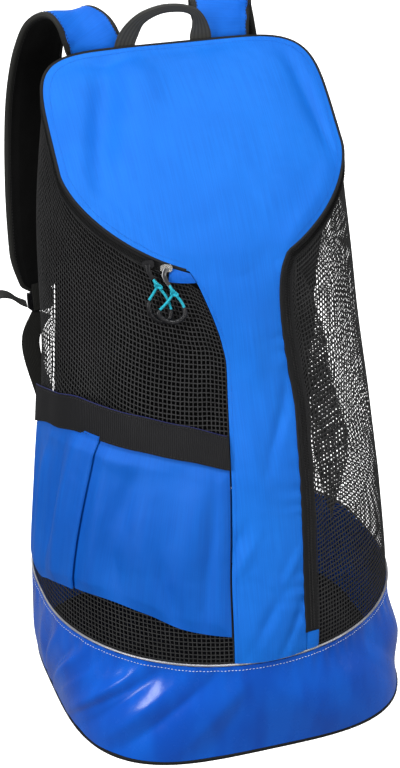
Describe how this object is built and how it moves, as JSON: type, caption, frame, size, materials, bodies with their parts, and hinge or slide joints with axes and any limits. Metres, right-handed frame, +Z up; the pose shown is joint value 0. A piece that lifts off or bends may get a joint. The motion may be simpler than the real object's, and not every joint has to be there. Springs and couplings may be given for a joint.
{
  "type": "mesh dive gear bag",
  "caption": "Tall backpack of black net with a blue zipped hood and front strip, a side pocket, a coated boot, padded shoulder straps and a carry handle.",
  "frame": {"origin": "on the floor, under the middle of the bag's base", "axes": "+Z up, front towards -Y, back and shoulder straps towards +Y, +X to the right as seen from the front"},
  "size_m": [0.4621, 0.4923, 0.8273],
  "materials": {
    "hood_cloth": "semi-matt woven nylon",
    "pocket_cloth": "semi-matt woven nylon",
    "boot_cloth": "glossy coated tarpaulin",
    "net": "knitted polyester net",
    "webbing": "ribbed nylon webbing and tape",
    "padding": "foam under matt cloth and spacer mesh",
    "piping": "grey reflective piping",
    "black_plastic": "moulded acetal",
    "slider_metal": "nickel plated",
    "cord": "braided cord"
  },
  "bodies": {
    "root": {"boot_wall": "boot_cloth", "base_panel": "webbing", "base_binding": "webbing", "boot_piping": "piping", "front_panel": "hood_cloth", "hood_zip_left": "webbing", "front_zip_right": "webbing", "zip_end_patch": "hood_cloth", "zip_garage": "hood_cloth", "net_left": "net", "net_right": "net", "back_panel": "padding", "hood_binding": "webbing", "pocket_panel": "pocket_cloth", "pocket_band": "webbing", "strap_pad_left": "padding", "strap_pad_right": "padding", "ladder_lock_left": "black_plastic", "ladder_lock_right": "black_plastic", "lower_webbing_left": "webbing", "lower_webbing_right": "webbing", "webbing_end_left": "webbing", "webbing_end_right": "webbing", "carry_handle": "webbing", "zip_slider_left": "black_plastic", "zip_slider_right": "slider_metal", "zip_puller_left": "black_plastic", "zip_puller_right": "slider_metal", "pull_loop_left": "cord", "pull_loop_right": "cord", "pull_grip_left": "black_plastic", "pull_grip_right": "black_plastic"}
  },
  "joints": []
}
